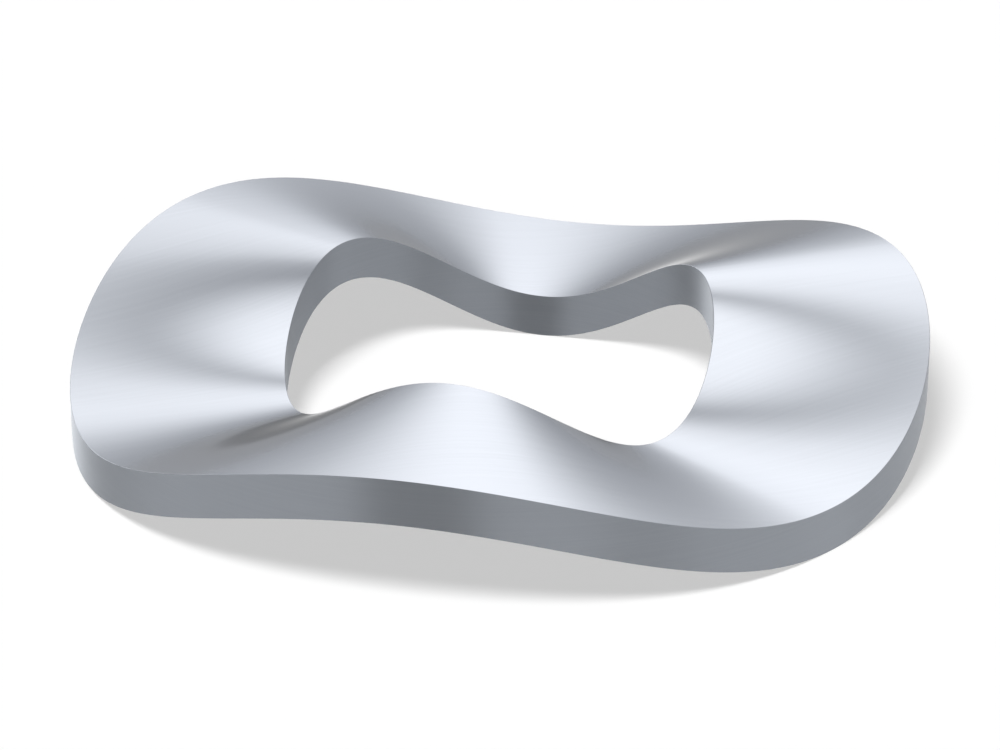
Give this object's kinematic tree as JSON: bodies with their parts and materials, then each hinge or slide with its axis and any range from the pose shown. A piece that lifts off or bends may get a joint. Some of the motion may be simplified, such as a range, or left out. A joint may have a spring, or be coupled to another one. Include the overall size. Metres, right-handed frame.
{
  "type": "wave spring washer",
  "caption": "Spring washer: a flat steel ring pressed into even waves around a plain bore, which spring back against what clamps it flat.",
  "frame": {"origin": "on the axis of the bore, in the plane that the undersides of the troughs rest on", "axes": "+Z along the bore, away from the surface that the washer lies on; +X through the middle of one crest"},
  "size_m": [0.021, 0.021, 0.0033],
  "materials": {
    "spring_steel": "bright rolled spring steel, finely tumbled, with darker sheared edge walls"
  },
  "bodies": {
    "root": {"wave_washer": "spring_steel"}
  },
  "joints": []
}
